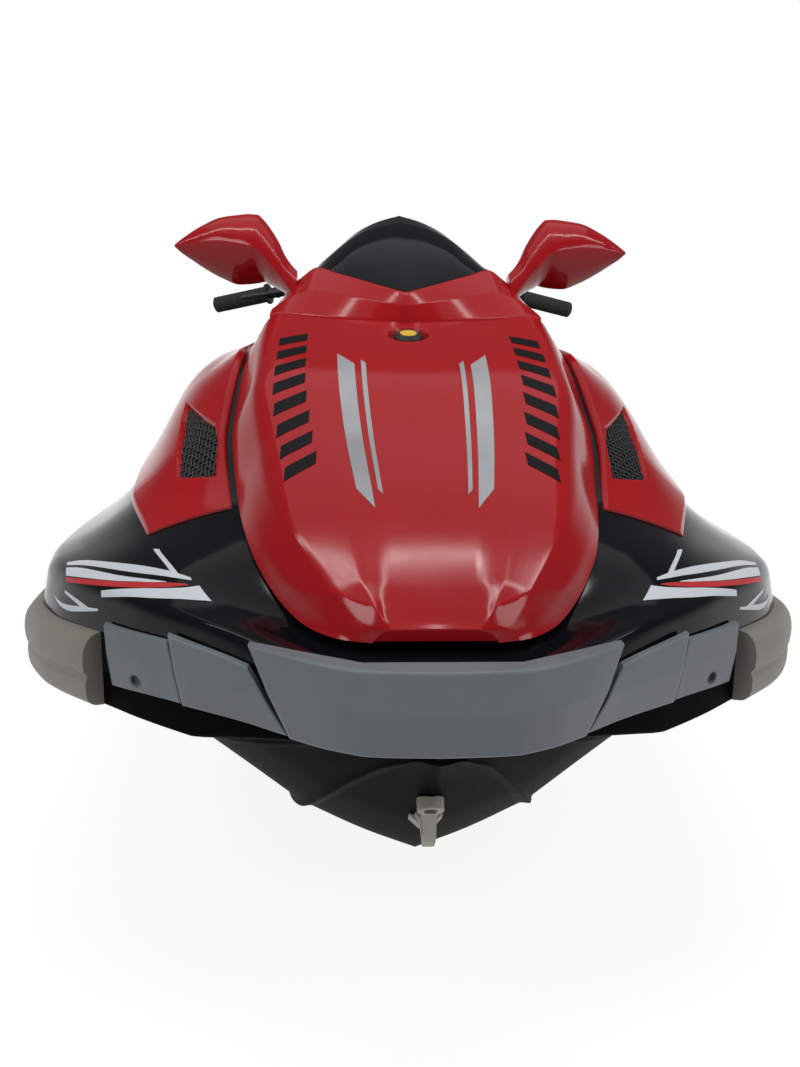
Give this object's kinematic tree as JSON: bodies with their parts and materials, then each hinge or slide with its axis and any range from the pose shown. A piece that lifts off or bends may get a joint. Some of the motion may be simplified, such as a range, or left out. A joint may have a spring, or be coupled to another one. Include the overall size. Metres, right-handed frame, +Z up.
{
  "type": "personal watercraft",
  "caption": "Sit-down personal watercraft with a glossy hinged hood, smoked windscreen, handlebar steering, saddle seats and a water-jet drive with a steering nozzle and reverse bucket.",
  "frame": {"origin": "on the centreline at the waterline amidships", "axes": "+X towards the bow, +Y to port, +Z up"},
  "size_m": [3.2944, 1.2228, 1.128],
  "materials": {
    "black_gelcoat": "gloss black gelcoat",
    "red_gelcoat": "gloss red gelcoat",
    "rail_rubber": "grey-tan rubber",
    "bumper_plastic": "satin blue-grey plastic",
    "cast_eye": "off-white cast metal",
    "vent_mesh": "woven dark mesh",
    "smoked_screen": "dark smoked sheet",
    "mirror_glass": "mirror glass",
    "black_plastic": "grained black plastic",
    "gauge_face": "dark gauge lens",
    "bin_plastic": "grey moulded plastic",
    "seat_vinyl": "black grained vinyl",
    "mat_foam": "grooved dark foam",
    "pump_alloy": "cast alloy",
    "steel": "stainless steel",
    "engine_block": "grey engine block",
    "knob_inlay": "plain yellow inlay",
    "bar_metal": "dark coated tube",
    "grip_rubber": "black ribbed rubber"
  },
  "bodies": {
    "craft": {"hull_shell": "black_gelcoat", "deck": "black_gelcoat", "cowl": "red_gelcoat", "side_panel_port": "red_gelcoat", "side_panel_starboard": "red_gelcoat", "mirror_port": "red_gelcoat", "mirror_starboard": "red_gelcoat", "gunwale_rail": "rail_rubber", "bumper_centre": "bumper_plastic", "bumper_port": "bumper_plastic", "bumper_starboard": "bumper_plastic", "tow_eye": "cast_eye", "vent_mesh_port": "vent_mesh", "vent_mesh_starboard": "vent_mesh", "windscreen": "smoked_screen", "mirror_glasses": "mirror_glass", "dash": "black_plastic", "drain_plugs": "black_plastic", "hood_hinges": "black_plastic", "sponsons": "black_plastic", "grab_handle": "black_plastic", "gauge": "gauge_face", "storage_bin": "bin_plastic", "seat_front": "seat_vinyl", "seat_rear": "seat_vinyl", "footwell_mats": "mat_foam", "stern_mat": "mat_foam", "pump_housing": "pump_alloy", "reduction_nozzle": "pump_alloy", "ride_plate": "pump_alloy", "intake_grate": "pump_alloy", "stern_eyes": "steel", "ski_eye": "steel", "engine": "engine_block"},
    "hood": {"hood": "red_gelcoat", "latch_cup": "red_gelcoat", "latch_knob": "black_plastic", "knob_inlay": "knob_inlay"},
    "handlebar": {"handlebar": "bar_metal", "bar_pad": "black_plastic", "grips": "grip_rubber", "throttle_lever": "bar_metal", "switch_pod": "black_plastic"},
    "impeller": {"impeller": "steel"},
    "nozzle": {"steering_nozzle": "pump_alloy"},
    "bucket": {"reverse_bucket": "pump_alloy"}
  },
  "joints": [
    {"name": "hood_open", "type": "hinge", "parent": "craft", "child": "hood", "pos_m": [1.506, 0, 0.28341], "axis": [0, 1, 0], "range_deg": [0, 60]},
    {"name": "handlebar_steer", "type": "hinge", "parent": "craft", "child": "handlebar", "pos_m": [0.53, 0, 0.59], "axis": [-0.4067, 0, 0.9135], "range_deg": [-22, 22]},
    {"name": "impeller_spin", "type": "hinge", "parent": "craft", "child": "impeller", "pos_m": [-1.2154, 0, -0.115], "axis": [1, 0, 0], "continuous": true},
    {"name": "nozzle_steer", "type": "hinge", "parent": "craft", "child": "nozzle", "pos_m": [-1.4368, 0, -0.115], "axis": [0, 0, 1], "range_deg": [-20, 20]},
    {"name": "bucket_drop", "type": "hinge", "parent": "nozzle", "child": "bucket", "pos_m": [-1.4928, 0, -0.115], "axis": [0, -1, 0], "range_deg": [0, 80]}
  ],
  "couplings": [
    {"joint": "nozzle_steer", "follows": "handlebar_steer", "ratio": -0.9}
  ]
}
